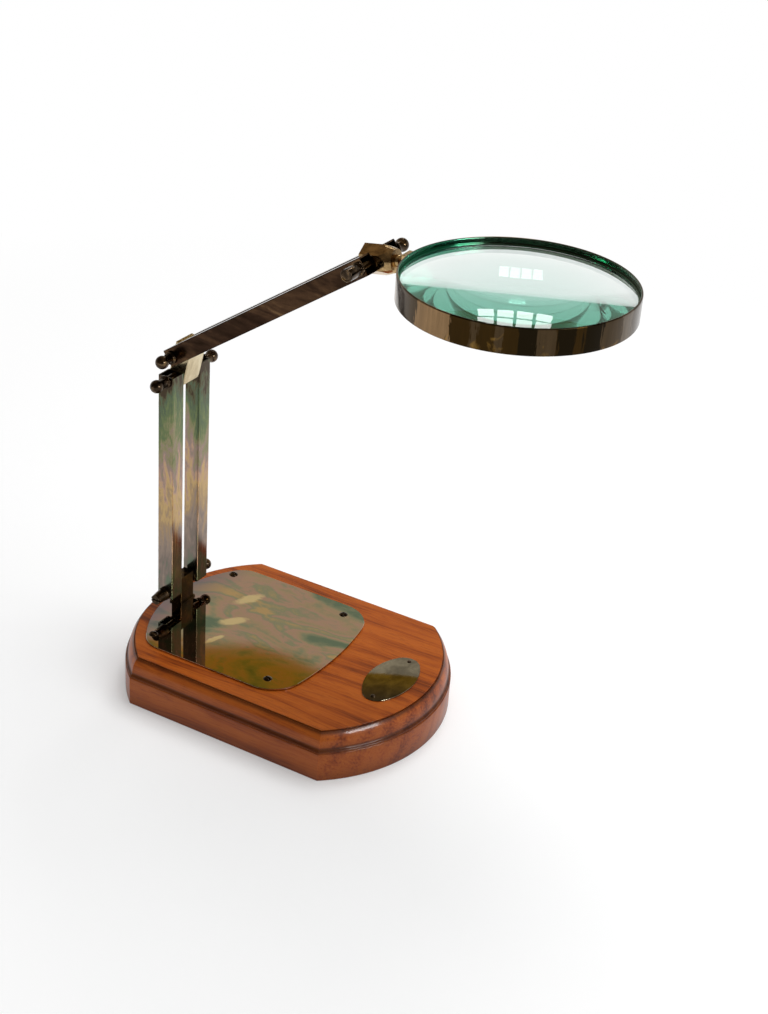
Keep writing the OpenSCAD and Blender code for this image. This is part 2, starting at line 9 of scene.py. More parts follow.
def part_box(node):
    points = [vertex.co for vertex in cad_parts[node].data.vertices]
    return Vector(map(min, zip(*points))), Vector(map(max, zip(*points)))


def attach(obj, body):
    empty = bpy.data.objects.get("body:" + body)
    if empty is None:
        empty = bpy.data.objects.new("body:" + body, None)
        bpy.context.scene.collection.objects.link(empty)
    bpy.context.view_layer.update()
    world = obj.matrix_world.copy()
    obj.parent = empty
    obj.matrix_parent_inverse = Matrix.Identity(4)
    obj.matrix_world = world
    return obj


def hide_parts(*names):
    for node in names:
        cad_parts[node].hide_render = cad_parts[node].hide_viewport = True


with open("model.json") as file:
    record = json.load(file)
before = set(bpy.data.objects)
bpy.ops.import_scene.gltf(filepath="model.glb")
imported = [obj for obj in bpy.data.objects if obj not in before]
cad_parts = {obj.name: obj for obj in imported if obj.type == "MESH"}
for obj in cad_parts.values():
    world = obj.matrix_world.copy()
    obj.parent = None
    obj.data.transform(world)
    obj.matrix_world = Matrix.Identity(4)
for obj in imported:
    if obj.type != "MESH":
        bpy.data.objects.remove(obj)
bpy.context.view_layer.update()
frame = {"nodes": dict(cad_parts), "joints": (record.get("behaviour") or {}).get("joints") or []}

MM = 0.001
PIVOT = {joint["name"]: Vector(joint["pos_m"]) for joint in frame["joints"]}

# The picture's frame and the photograph's camera, worked out from its perspective
IMAGE_HEIGHT_PX = 1014
FOCAL_PX = 1754.6
SENSOR_MM = 36.0
CAMERA_AZIMUTH = math.radians(27.988)
CAMERA_ELEVATION = math.radians(28.790)
CAMERA_ROLL = math.radians(4.162)
CAMERA_DISTANCE = 1348.4 * MM
CAMERA_ACROSS = 74.1 * MM
CAMERA_UP = 135.7 * MM


def size_of(cad_node):
    """The low and the high corner of a CAD node's box, in millimetres."""
    return tuple(Vector(corner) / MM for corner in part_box(cad_node))


# The wooden base's moulding, in millimetres
BASE_HIGH = size_of("wood_base")[1]
END_BOW = 42.6
PLINTH_H, EASE_R = 23.3, 0.8
FILLET_H, FILLET_IN = 1.5, 0.8
COVE_H, COVE_IN = 2.0, 1.4
OVOLO_H, OVOLO_IN = 11.1, 4.2
QUIRK_IN = 1.1
COVE_Z = PLINTH_H + FILLET_H
OVOLO_Z = COVE_Z + COVE_H
QUIRK_Z = OVOLO_Z + OVOLO_H
COVE_AT = FILLET_IN + COVE_IN
TOP_AT = COVE_AT + OVOLO_IN + QUIRK_IN
OVOLO_R = (OVOLO_IN ** 2 + OVOLO_H ** 2) / (2 * OVOLO_IN)
END_R = (BASE_HIGH.y ** 2 + END_BOW ** 2) / (2 * END_BOW)
END_X = BASE_HIGH.x - END_R
COUNTERBORE_R, COUNTERBORE_H = 8.0, 10.0
# Painted shade: the share of the wood's own colour left at each height, darkest in the cove and the quirk,
# and darker towards the bottom
WOOD_LEFT_UNDER_PAINTED_SHADE = (
    (PLINTH_H - 2, 0.85),
    (COVE_Z + 0.6, 0.30),
    (OVOLO_Z + 1.0, 0.80),
    (QUIRK_Z - 3, 1.0),
    (QUIRK_Z + 0.2, 0.30),
    (BASE_HIGH.z - 0.4, 1.0))

# The two brass plates
PLATE_LOW, PLATE_HIGH = size_of("brass_plate")
PLATE_BACK_R, PLATE_BACK_CORNER_R = 100.0, 20.0
PLATE_FRONT_R, PLATE_FRONT_CORNER_R = 250.0, 27.0
# The plate springs up by this much at its front end
PLATE_SPRING = 0.6
# The bare patches on the plate: X, Y, half length, half width and turn in degrees
BARE_PATCHES = (
    (-56.3, 30.3, 14.0, 6.0, 61),
    (-49.1, -3.8, 13.0, 5.5, 46),
    (-46.6, -32.8, 10.0, 3.0, 70))
OVAL_LOW, OVAL_HIGH = size_of("oval_plate")
OVAL_TIP_R, OVAL_RIM_T = 11.0, 0.7

# Wood screws, pins and turned nuts
SCREW_R, SCREW_L, SCREW_HEAD_R, SCREW_HEAD_H = 1.7, 14.0, 3.6, 1.9
PIN_R, PIN_L, PIN_HEAD_R, PIN_HEAD_H = 0.8, 9.0, 1.7, 0.9
SLOT_W, SLOT_D = 1.1, 1.2
SCREW_TURN_SEED, PIN_TURN_SEED = 5, 2
NUT_START = 23.35
BALL_NUT_REACH, BALL_NUT_R = 33.9, 4.9
SHORT_NUT_REACH, SHORT_NUT_R = 31.0, 4.4
NECK_R, SHOULDER_R, SHOULDER_T, SHOULDER_BEVEL = 3.7, 4.9, 1.6, 0.2
FLAT_NUT_END, FLAT_NUT_R, FLAT_NUT_GRIP = 38.8, 4.4, 9.0
FLAT_NUT_RIM, FLAT_NUT_DISH, FLAT_NUT_BEVEL = 1.0, 0.5, 0.4
NUT_EASE = 0.35

# The ball joint
HEAD_PITCH = math.radians(9.0)
BALL_R, BALL_OUT, BALL_NECK_R, BALL_PLAY = 3.2, 1.0, 1.7, 0.08
COLLAR_R, COLLAR_MOUTH = 4.3, 2.0

# The ring and the lens
RING_LOW, RING_HIGH = size_of("lens_ring")
RING_MIDDLE = (RING_LOW + RING_HIGH) / 2
RING_R = (RING_HIGH.x - RING_LOW.x) / 2
RING_H = RING_HIGH.z - RING_LOW.z
RING_WALL, BEAD_R = 1.3, 0.8
LENS_LOW, LENS_HIGH = size_of("lens_glass")
LENS_R = (LENS_HIGH.x - LENS_LOW.x) / 2
LENS_EDGE_T, KEEPER_T, KEEPER_EASE = 3.0, 1.4, 0.25
# The ring's painted reflections of the room: bands of five tints, and the share of a turn from the ring's
# back where each starts
TAN, GREY, BROWN, UMBER, BLACK = "#8C7050", "#6C6052", "#483A28", "#34250F", "#1C160C"
ROOM_REFLECTION_BAND_TINTS = (
    (0.000, BROWN), (0.060, TAN), (0.100, GREY), (0.133, BROWN), (0.173, TAN), (0.228, UMBER),
    (0.260, BROWN), (0.268, UMBER), (0.292, BROWN), (0.302, UMBER), (0.318, BLACK), (0.342, BROWN),
    (0.365, UMBER), (0.371, BLACK), (0.392, UMBER), (0.404, BLACK), (0.436, BROWN), (0.470, GREY),
    (0.500, BROWN), (0.800, TAN), (0.900, UMBER), (1.000, BROWN))

# How many faces go round a piece: screws and pins; nuts, ball and collar; retaining rings; ring and lens
SCREW_FACES, NUT_FACES, KEEPER_FACES, RING_FACES = 48, 64, 192, 256
# Edges sharper than this, in degrees, stay sharp to the eye
WOOD_SHARP, PLAIN_SHARP, RING_SHARP, NUT_SHARP, BALL_SHARP = 24.0, 30.0, 40.0, 45.0, 50.0
# Edges sharper than this, in degrees, are eased; the hexagonal bar's nose is turned in shallow steps
EASED_FROM, EASED_FROM_ON_HEX = 32.0, 16.0
WOOD_EASE = 0.35
# Points closer than this, in metres, are one point
SAME_POINT = 2e-6

# Each seed moves a noise pattern by this many patches, to a place of its own
SEED_STEPS = (37.0, 11.0, 23.0)
# Nearly all values of a noise pattern lie between these two
NOISE_LOW, NOISE_HIGH = 0.3, 0.7

# What metal and glass mirror: a pale backdrop that rises to this share of the sky, and over it a warm
# dim room, by the height of the ray
WHITE = "#FFFFFF"
BACKDROP_TOP = math.sin(math.radians(33.4))
BACKDROP_EDGE = 0.0004
ROOM_TINTS = (
    (0.0, WHITE), (0.10, "#E8E6E2"), (0.25, "#C4C0B8"), (BACKDROP_TOP - BACKDROP_EDGE, "#B8B2A6"),
    (BACKDROP_TOP + BACKDROP_EDGE, "#957626"), (0.64, "#5F513B"), (0.80, "#8F7B62"), (1.0, "#A09484"))
# The room is dimmer behind the camera, and its soft light on matt faces is grey
DIM_FRONT, SOFT_LIGHT = "#5A5248", "#A6A6A6"
# The window that the lens mirrors: its direction and distance from the lens, its panes and their light
WINDOW_AZIMUTH, WINDOW_ELEVATION = math.radians(-24), math.radians(40.0)
WINDOW_DISTANCE = 1.2
PANES_ACROSS, PANES_UP = 4, 4
PANE_W, PANE_H, PANE_BAR = 0.044, 0.054, 0.009
PANE_WATTS = 0.045
# The table: its reach, its own glow, and where it has faded into the white background, in metres
TABLE_REACH, TABLE_GLOW = 6.0, 0.28
TABLE_FADES_FROM, TABLE_WHITE_FROM = 0.4, 1.0


def linear(hex_colour):
    """An sRGB hex colour as the linear values that a shader takes."""
    channels = [int(hex_colour[i:i + 2], 16) / 255 for i in (1, 3, 5)]
    return (*(c / 12.92 if c <= 0.04045 else ((c + 0.055) / 1.055) ** 2.4 for c in channels), 1.0)


def node(tree, kind, inputs=None, out=0, stops=None, **settings):
    """Adds a node and returns one of its outputs. An input is a value or the output that feeds it."""
    made = tree.nodes.new(kind)
    for name, value in settings.items():
        setattr(made, name, value)
    for name, value in (inputs or {}).items():
        if isinstance(value, bpy.types.NodeSocket):
            tree.links.new(value, made.inputs[name])
        else:
            made.inputs[name].default_value = value
    if stops:
        elements = made.color_ramp.elements
        elements[0].position, elements[1].position = stops[0][0], stops[-1][0]
        elements[0].color, elements[1].color = linear(stops[0][1]), linear(stops[-1][1])
        for place, colour in stops[1:-1]:
            elements.new(place).color = linear(colour)
    return made.outputs[out] if made.outputs else made


def new_material(name, **sockets):
    """A material with its tree, its shader's node and its Object coordinates in millimetres."""
    made = bpy.data.materials.new(name)
    made.use_nodes = True
    tree = made.node_tree
    tree.nodes.clear()
    surface = node(tree, "ShaderNodeBsdfPrincipled", {k.replace("_", " "): v for k, v in sockets.items()})
    node(tree, "ShaderNodeOutputMaterial", {"Surface": surface})
    place = node(tree, "ShaderNodeTexCoord", out="Object")
    in_mm = node(tree, "ShaderNodeVectorMath", {0: place, 1: (1000, 1000, 1000)}, operation="MULTIPLY")
    return made, tree, surface.node, in_mm


def patches(tree, mm, patch_mm, seed, detail=3.0, roughness=0.55, distortion=0.0):
    """A soft uneven pattern whose patches have the sizes patch_mm along X, Y and Z."""
    moved = node(tree, "ShaderNodeMapping", {
        "Vector": mm, "Scale": [1 / size for size in patch_mm],
        "Location": [seed * step for step in SEED_STEPS]})
    return node(tree, "ShaderNodeTexNoise", {
        "Vector": moved, "Scale": 1.0, "Detail": detail, "Roughness": roughness,
        "Distortion": distortion}, "Fac")


def finish_surface(tree, shader, tint, dull, roughness, relief, depth_mm=0.008):
    """Sends the tint to the shader, a roughness that follows dull, and a fine relief."""
    rough = node(tree, "ShaderNodeMapRange", {
        "Value": dull, "From Min": NOISE_LOW, "From Max": NOISE_HIGH, "To Min": roughness[0],
        "To Max": roughness[1]})
    bumps = node(tree, "ShaderNodeBump", {"Height": relief, "Strength": 1.0, "Distance": depth_mm * MM})
    for socket, source in (("Base Color", tint), ("Roughness", rough), ("Normal", bumps)):
        tree.links.new(source, shader.inputs[socket])


def varnished_sheesham():
    # Sheesham, an Indian rosewood, sawn along the grain, moulded and varnished: warm orange-brown with
    # darker growth lines along the board, fine dark pores, and a soft clear shine
    made, tree, shader, mm = new_material("varnished_sheesham", Coat_Weight=0.3, Coat_Roughness=0.12,
                                          Coat_IOR=1.5, Specular_IOR_Level=0.12)
    # The grain strays sideways, by up to grain_strays, in long slow bends
    slow_bend, grain_strays = (170, 50, 50), (0, 26, 26)
    slow = node(tree, "ShaderNodeMapping", {"Vector": mm, "Scale": [1 / size for size in slow_bend]})
    slow = node(tree, "ShaderNodeTexNoise", {"Vector": slow, "Scale": 1.0}, "Color")
    bent = node(tree, "ShaderNodeVectorMath", {0: slow, 1: grain_strays, 2: mm}, operation="MULTIPLY_ADD")
    # The growth lines lean as the log lay under the saw, and come every 15 mm at this scale
    tilted = node(tree, "ShaderNodeMapping", {
        "Vector": bent, "Rotation": (math.radians(24), 0, 0), "Scale": (0.02, 1, 1)})
    growth = node(tree, "ShaderNodeTexWave", {
        "Vector": tilted, "Scale": 0.021, "Distortion": 2.2, "Detail": 3.0, "Detail Scale": 0.4}, "Fac",
        bands_direction="Y")
    streaks = patches(tree, bent, (130, 1.8, 1.8), seed=1, detail=6.0, roughness=0.62)
    cloudy = patches(tree, bent, (110, 30, 30), seed=2)
    streaks_share, growth_share = 0.5, 0.09
    figure = node(tree, "ShaderNodeMix", {0: streaks_share, 2: streaks, 3: cloudy})
    figure = node(tree, "ShaderNodeMix", {0: growth_share, 2: figure, 3: growth})
    board = node(tree, "ShaderNodeValToRGB", {"Fac": figure}, stops=(
        (0.34, "#5E2609"), (0.43, "#8A3E0E"), (0.50, "#A04D13"), (0.59, "#AC5718"), (0.70, "#8E4317")))
    # The real pores are about 0.2 mm wide, too fine to show, and are drawn at 0.5 mm
    pores = patches(tree, mm, (11, 0.5, 0.5), seed=3, detail=2.0)
    open_pore = node(tree, "ShaderNodeMapRange", {
        "Value": pores, "From Min": 0.40, "From Max": 0.30, "To Max": 0.5})
    pored = node(tree, "ShaderNodeMix", {0: open_pore, 6: board, 7: linear("#3A1608")}, 2, data_type="RGBA")
    # Painted shade by height: the wood is darkened in the cove and the quirk, and towards the bottom
    height = node(tree, "ShaderNodeSeparateXYZ", {0: mm}, "Z")
    height = node(tree, "ShaderNodeMath", {0: height, 1: 1 / BASE_HIGH.z}, operation="MULTIPLY")
    unshaded_share = node(tree, "ShaderNodeFloatCurve", {"Value": height})
    curve = unshaded_share.node.mapping.curves[0]
    curve.points[0].location, curve.points[1].location = (0.0, 0.5), (1.0, 1.0)
    for level, share in WOOD_LEFT_UNDER_PAINTED_SHADE:
        curve.points.new(level / BASE_HIGH.z, share)
    unshaded_share.node.mapping.update()
    painted_shade_wood = node(tree, "ShaderNodeMix", {0: 1.0, 6: pored, 7: unshaded_share}, 2, data_type="RGBA",
                   blend_type="MULTIPLY")
    finish_surface(tree, shader, painted_shade_wood, streaks, (0.36, 0.48), pores, depth_mm=0.02)
    return made


def patinated(name, stops, patch_mm, seed, roughness=(0.12, 0.26)):
    """Metal under a patina whose tints run through stops, in patches of patch_mm."""
    made, tree, shader, mm = new_material(name, Metallic=1.0)
    film = patches(tree, mm, patch_mm, seed, detail=3.5, distortion=1.0)
    fine = patches(tree, mm, [size / 6 for size in patch_mm], seed, detail=4.0, roughness=0.6)
    fine_share = 0.22
    mixed = node(tree, "ShaderNodeMix", {0: fine_share, 2: film, 3: fine})
    tint = node(tree, "ShaderNodeValToRGB", {"Fac": mixed}, stops=stops)
    finish_surface(tree, shader, tint, fine, roughness, fine)
    return made


def tarnished_sheet_brass():
    # Rolled sheet brass, polished and left to tarnish: a soft mirror under a thin film of grey-green, pink
    # and tan swirls, with mauve towards its back edge and a few bare cream patches
    made, tree, shader, mm = new_material("tarnished_sheet_brass", Metallic=1.0)
    film = patches(tree, mm, (62, 40, 40), seed=1, detail=2.5, roughness=0.5, distortion=1.2)
    fine = patches(tree, mm, (10, 6, 6), seed=2, detail=4.0, roughness=0.6, distortion=0.8)
    fine_share = 0.18
    mixed = node(tree, "ShaderNodeMix", {0: fine_share, 2: film, 3: fine})
    tint = node(tree, "ShaderNodeValToRGB", {"Fac": mixed}, stops=(
        (0.34, "#7C9078"), (0.42, "#A4A688"), (0.48, "#C4AC8C"), (0.53, "#CDA994"), (0.58, "#A6A88A"),
        (0.66, "#D8B884")))
    along = node(tree, "ShaderNodeSeparateXYZ", {0: mm}, "X")
    mauve_from, mauve_full = 34, 6
    at_back = node(tree, "ShaderNodeMapRange", {
        "Value": along, "From Min": PLATE_LOW.x + mauve_from, "From Max": PLATE_LOW.x + mauve_full,
        "To Max": 0.7})
    tint = node(tree, "ShaderNodeMix", {0: at_back, 6: tint, 7: linear("#8A7E92")}, 2, data_type="RGBA")
    for x, y, half_l, half_w, turn in BARE_PATCHES:
        place = node(tree, "ShaderNodeMapping", {
            "Vector": mm, "Location": (x, y, PLATE_HIGH.z), "Rotation": (0, 0, math.radians(turn)),
            "Scale": (half_l, half_w, 10)}, vector_type="TEXTURE")
        away = node(tree, "ShaderNodeVectorMath", {0: place}, "Value", operation="LENGTH")
        ragged = node(tree, "ShaderNodeMath", {0: fine, 1: 0.9, 2: away}, operation="MULTIPLY_ADD")
        bare = node(tree, "ShaderNodeMapRange", {
            "Value": ragged, "From Min": 1.45, "From Max": 1.05, "To Max": 0.85})
        tint = node(tree, "ShaderNodeMix", {0: bare, 6: tint, 7: linear("#FFE7AE")}, 2, data_type="RGBA")
    finish_surface(tree, shader, tint, fine, (0.012, 0.03), film)
    return made


def heat_tinted_brass_tube():
    # Drawn square brass tube, polished and tinted by heat: green at the top, pink, tan and gold bands
    # below, with fine streaks along the tube
    made, tree, shader, mm = new_material("heat_tinted_brass_tube", Metallic=1.0)
    film = patches(tree, mm, (11, 11, 34), seed=3, detail=4.0, roughness=0.6, distortion=1.0)
    # The die's own marks are under 0.2 mm wide, too fine to show, and are drawn at 1.1 mm
    streaks = patches(tree, mm, (1.1, 1.1, 80), seed=4)
    speckles = patches(tree, mm, (1.6, 1.6, 4), seed=11)
    height = node(tree, "ShaderNodeSeparateXYZ", {0: mm}, "Z")
    place = node(tree, "ShaderNodeMapRange", {
        "Value": height, "From Min": PIVOT["base_pivot"].z / MM, "From Max": PIVOT["elbow_lower"].z / MM,
        "To Min": -0.60, "To Max": 0.40})
    for pattern, share in ((film, 0.85), (streaks, 0.15), (speckles, 0.20)):
        place = node(tree, "ShaderNodeMath", {0: pattern, 1: share, 2: place}, operation="MULTIPLY_ADD")
    tint = node(tree, "ShaderNodeValToRGB", {"Fac": place}, stops=(
        (0.0, "#66705F"), (0.12, "#7A6E66"), (0.24, "#8E7E72"), (0.35, "#9E8668"), (0.44, "#B89C6C"),
        (0.52, "#AC8F7A"), (0.60, "#8F7C74"), (0.68, "#8A8264"), (0.78, "#697550"), (0.88, "#566350"),
        (0.95, "#5C5A44"), (1.0, "#453A2E")))
    finish_surface(tree, shader, tint, streaks, (0.12, 0.26), streaks)
    return made


def brass_band_with_painted_reflections():
    # Rolled brass band under an uneven dark patina, with painted reflections of the room as upright bands of
    # brown, grey and black round the ring, gold where it is rubbed, and dark green inside: patina where
    # polish never reaches and a painted reflection of the green lens, with painted teal light from the lens
    # at the back
    made, tree, shader, mm = new_material("brass_band_with_painted_reflections", Metallic=1.0)
    middle = node(tree, "ShaderNodeVectorMath", {0: mm, 1: RING_MIDDLE}, operation="SUBTRACT")
    parts = node(tree, "ShaderNodeSeparateXYZ", {0: middle}).node.outputs
    # The polishing marks are too fine to show, and are drawn at 2.8 mm
    streaks = patches(tree, mm, (2.8, 2.8, 28), seed=8, detail=4.0, roughness=0.6)
    film = patches(tree, mm, (16, 16, 20), seed=9, detail=4.0, roughness=0.6, distortion=1.0)
    # The streaks fray the bands' edges by this share of a turn
    fray = 0.032
    angle = node(tree, "ShaderNodeMath", {0: parts["Y"], 1: parts["X"]}, operation="ARCTAN2")
    turn = node(tree, "ShaderNodeMapRange", {
        "Value": angle, "From Min": -math.pi, "From Max": math.pi, "To Min": -fray / 2,
        "To Max": 1 - fray / 2})
    ragged = node(tree, "ShaderNodeMath", {0: streaks, 1: fray, 2: turn}, operation="MULTIPLY_ADD")
    # Painted reflections of the room, drawn as upright bands by the turn round the ring
    tint = node(tree, "ShaderNodeValToRGB", {"Fac": ragged}, stops=ROOM_REFLECTION_BAND_TINTS)
    tint.node.color_ramp.interpolation = "CONSTANT"
    dark = node(tree, "ShaderNodeMapRange", {
        "Value": streaks, "From Min": 0.65, "From Max": 0.35, "To Max": 0.25})
    tint = node(tree, "ShaderNodeMix", {0: dark, 6: tint, 7: linear(BLACK)}, 2, data_type="RGBA")
    rubbed_lower = 0.17
    low_down = node(tree, "ShaderNodeMath", {0: parts["Z"], 1: -rubbed_lower / RING_H, 2: film},
                    operation="MULTIPLY_ADD")
    rubbed = node(tree, "ShaderNodeMapRange", {
        "Value": low_down, "From Min": 0.62, "From Max": 0.78, "To Max": 0.5})
    tint = node(tree, "ShaderNodeMix", {0: rubbed, 6: tint, 7: linear("#A8813C")}, 2, data_type="RGBA")
    # Inside: dark green patina where polish never reaches, and a painted reflection of the green lens
    level = node(tree, "ShaderNodeVectorMath", {0: middle, 1: (1, 1, 0)}, operation="MULTIPLY")
    out = node(tree, "ShaderNodeVectorMath", {0: level}, "Value", operation="LENGTH")
    bore_r = RING_R - RING_WALL
    inside = node(tree, "ShaderNodeMapRange", {
        "Value": out, "From Min": bore_r + 0.25, "From Max": bore_r + 0.1})
    # Painted light: teal towards the ring's back, where light through the lens falls on the inside
    at_back = node(tree, "ShaderNodeMapRange", {
        "Value": parts["X"], "From Min": -0.6 * RING_R, "From Max": -0.9 * RING_R})
    green = node(tree, "ShaderNodeMix", {0: at_back, 6: linear("#607060"), 7: linear("#3C8C72")}, 2,
                 data_type="RGBA")
    tint = node(tree, "ShaderNodeMix", {0: inside, 6: tint, 7: green}, 2, data_type="RGBA")
    finish_surface(tree, shader, tint, streaks, (0.10, 0.22), streaks)
    return made


def dark_bronze_tube():
    # Drawn square brass tube under a dark brown bronze patina, a little lighter where it is rubbed
    tints = (0.30, "#1E140C"), (0.44, "#33241A"), (0.54, "#4A3626"), (0.64, "#6A5238"), (0.76, "#2E2015")
    return patinated("dark_bronze_tube", tints, patch_mm=(55, 12, 16), seed=3)


def turned_dark_bronze():
    # Turned brass nuts under a nearly black patina, with gold where fingers have rubbed it
    tints = (0.30, "#241C15"), (0.46, "#3A2F24"), (0.58, "#554636"), (0.70, "#8A6E44")
    return patinated("turned_dark_bronze", tints, patch_mm=(6, 6, 6), seed=4, roughness=(0.14, 0.28))


def milled_dark_bronze():
    # Milled brass block under the same dark patina, in wider and warmer patches
    tints = (0.30, "#2C2217"), (0.50, "#4E3D26"), (0.62, "#6E572F"), (0.75, "#3B2D1C")
    return patinated("milled_dark_bronze", tints, patch_mm=(14, 14, 20), seed=5)


def bright_milled_brass():
    # Milled brass block, brightly polished and little tarnished: cream yellow
    tints = (0.30, "#A08E6C"), (0.50, "#C2B18E"), (0.62, "#D2C4A2"), (0.75, "#AA9870")
    return patinated("bright_milled_brass", tints, patch_mm=(16, 16, 24), seed=6)


def golden_brown_brass():
    # Hexagonal brass bar, sawn, turned at the nose and patinated golden brown
    tints = (0.30, "#66543A"), (0.44, "#9C825A"), (0.56, "#BE9F70"), (0.66, "#D0B484"), (0.78, "#8A7048")
    return patinated("golden_brown_brass", tints, patch_mm=(11, 8, 8), seed=7)


def black_patinated_plate():
    # Stamped and polished brass plate under a thin grey film: it mirrors the dim room, and so looks black
    tints = (0.30, "#6E685A"), (0.46, "#8C8472"), (0.58, "#A29A86"), (0.70, "#B4AC96"), (0.82, "#7A7260")
    return patinated("black_patinated_plate", tints, patch_mm=(14, 24, 14), seed=9, roughness=(0.02, 0.05))


def oiled_steel():
    # Plain turned steel of the bolt and washer under the base, dull and oiled
    tints = (0.30, "#6B6A66"), (0.70, "#8E8C86")
    return patinated("oiled_steel", tints, patch_mm=(5, 5, 5), seed=10, roughness=(0.3, 0.45))


def green_crown_glass():
    # Ground and polished crown glass: clear, with the green of iron where light crosses much of it
    made, tree, shader, _ = new_material("green_crown_glass", Transmission_Weight=1.0, Roughness=0.0,
                                         IOR=1.52)
    shader.inputs["Base Color"].default_value = linear(WHITE)
    depth = node(tree, "ShaderNodeVolumeAbsorption", {"Color": linear("#59CEB8"), "Density": 15.0})
    output = next(other for other in tree.nodes if other.type == "OUTPUT_MATERIAL")
    tree.links.new(depth, output.inputs["Volume"])
    return made


def arc(centre, radius, start, end, steps):
    """Points along an arc, with its angles in degrees."""
    turns = [math.radians(start + (end - start) * i / steps) for i in range(steps + 1)]
    return [(centre[0] + radius * math.cos(t), centre[1] + radius * math.sin(t)) for t in turns]


def softened(corners, radius, steps=4):
    """A profile whose inner corners are eased by a small curve, which takes up less than half a side."""
    most_of_side = 0.45
    done = [corners[0]]
    for before, at, after in zip(corners, corners[1:], corners[2:]):
        before, at, after = Vector(before), Vector(at), Vector(after)
        cut = min(radius, (before - at).length * most_of_side, (after - at).length * most_of_side)
        start, end = at + (before - at).normalized() * cut, at + (after - at).normalized() * cut
        for i in range(steps + 1):
            t = i / steps
            done.append(tuple(start * (1 - t) ** 2 + at * 2 * t * (1 - t) + end * t ** 2))
    return done + [corners[-1]]


def mesh_object(name, points, faces, finish, sharp_from=PLAIN_SHARP):
    """A finished piece in the frame's own place, smooth but for the edges sharper than sharp_from degrees."""
    mesh = bpy.data.meshes.new(name)
    mesh.from_pydata([tuple(p) for p in points], [], faces)
    mesh.materials.append(finish)
    return placed(name, mesh, sharp_from)


def placed(name, mesh, sharp_from):
    """An object for a mesh that is already in its place, with its smooth and sharp edges set."""
    made = bpy.data.objects.new(name, mesh)
    bpy.context.scene.collection.objects.link(made)
    for face in mesh.polygons:
        face.use_smooth = True
    mesh.set_sharp_from_angle(angle=math.radians(sharp_from))
    return made


def applied(made):
    """Turns a piece with its modifiers into a plain mesh."""
    plain = bpy.data.meshes.new_from_object(made.evaluated_get(bpy.context.evaluated_depsgraph_get()))
    made.modifiers.clear()
    made.data = plain
    return made


def cut_out(made, cutter, sharp_from):
    """Cuts the cutter's shape out of a piece."""
    cut = made.modifiers.new("cut", "BOOLEAN")
    cut.object = cutter
    cut.solver = "EXACT"
    applied(made).data.set_sharp_from_angle(angle=math.radians(sharp_from))
    bpy.data.objects.remove(cutter)


def ease_edges(made, width, angle):
    """Rounds the edges that are sharper than angle, as wear and a file do."""
    bevel = made.modifiers.new("eased_edges", "BEVEL")
    bevel.width = width * MM
    bevel.segments = 2
    bevel.limit_method = "ANGLE"
    bevel.angle_limit = math.radians(angle)
    bevel.harden_normals = True


def bands(rings, closed=False):
    """Faces between rings of point numbers, where a ring that has shrunk to a point repeats its number."""
    faces = []
    for low, high in zip(rings, rings[1:] + rings[:1] if closed else rings[1:]):
        for i in range(len(low)):
            j = (i + 1) % len(low)
            corners = list(dict.fromkeys((low[i], low[j], high[j], high[i])))
            if len(corners) > 2:
                faces.append(corners)
    return faces


def turned(name, profile, middle, axis, finish, steps, sharp_from=PLAIN_SHARP, closed=False):
    """A turned piece from a profile of (radius, height) in millimetres, pole to pole or a closed loop."""
    at_pole = 1e-6
    axis = Vector(axis).normalized()
    side = axis.orthogonal().normalized()
    other = axis.cross(side)
    points, rings = [], []
    for radius, height in profile:
        foot = Vector(middle) + axis * height * MM
        count = steps if radius > at_pole else 1
        rings.append([len(points) + i % count for i in range(steps)])
        for i in range(count):
            turn = 2 * math.pi * i / steps
            points.append(foot + (side * math.cos(turn) + other * math.sin(turn)) * radius * MM)
    return mesh_object(name, points, bands(rings, closed), finish, sharp_from)


def eased_copy(name, cad_node, width, finish, angle=EASED_FROM):
    """A merged copy of a CAD node with its edges eased."""
    flat_within = math.radians(0.4)
    mesh = frame["nodes"][cad_node].data.copy()
    mesh.name = name
    work = bmesh.new()
    work.from_mesh(mesh)
    bmesh.ops.remove_doubles(work, verts=work.verts, dist=SAME_POINT)
    bmesh.ops.dissolve_limit(work, angle_limit=flat_within, verts=work.verts, edges=work.edges)
    work.to_mesh(mesh)
    work.free()
    if "custom_normal" in mesh.attributes:
        mesh.attributes.remove(mesh.attributes["custom_normal"])
    mesh.materials.clear()
    mesh.materials.append(finish)
    made = placed(name, mesh, angle)
    ease_edges(made, width, angle)
    return made


def stand_for(piece, body, cad_node):
    """The piece moves with body and is shown in place of the CAD node."""
    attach(piece, body)
    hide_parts(cad_node)


def by_rule(name, tree, host, values):
    """Runs a finished Geometry Nodes tree on host with its named inputs, and keeps the plain mesh."""
    rule = host.modifiers.new(name, "NODES")
    rule.node_group = tree
    given = [item for item in tree.interface.items_tree if item.in_out == "INPUT"]
    sockets = {item.name: item.identifier for item in given}
    for word, value in values.items():
        rule[sockets[word]] = value
    return applied(host)


def new_rule(name, inputs):
    """A Geometry Nodes tree with named inputs, and its input node's outputs."""
    tree = bpy.data.node_groups.new(name, "GeometryNodeTree")
    for way in ("INPUT", "OUTPUT"):
        tree.interface.new_socket("Geometry", in_out=way, socket_type="NodeSocketGeometry")
    for word, kind in inputs.items():
        tree.interface.new_socket(word, in_out="INPUT", socket_type="NodeSocket" + kind)
    return tree, node(tree, "NodeGroupInput").node.outputs


def end_rule(tree, shape, finish):
    """Ends a tree with real geometry in its finish."""
    real = node(tree, "GeometryNodeRealizeInstances", {"Geometry": shape})
    painted = node(tree, "GeometryNodeSetMaterial", {"Geometry": real, "Material": finish})
    node(tree, "NodeGroupOutput", {"Geometry": painted})


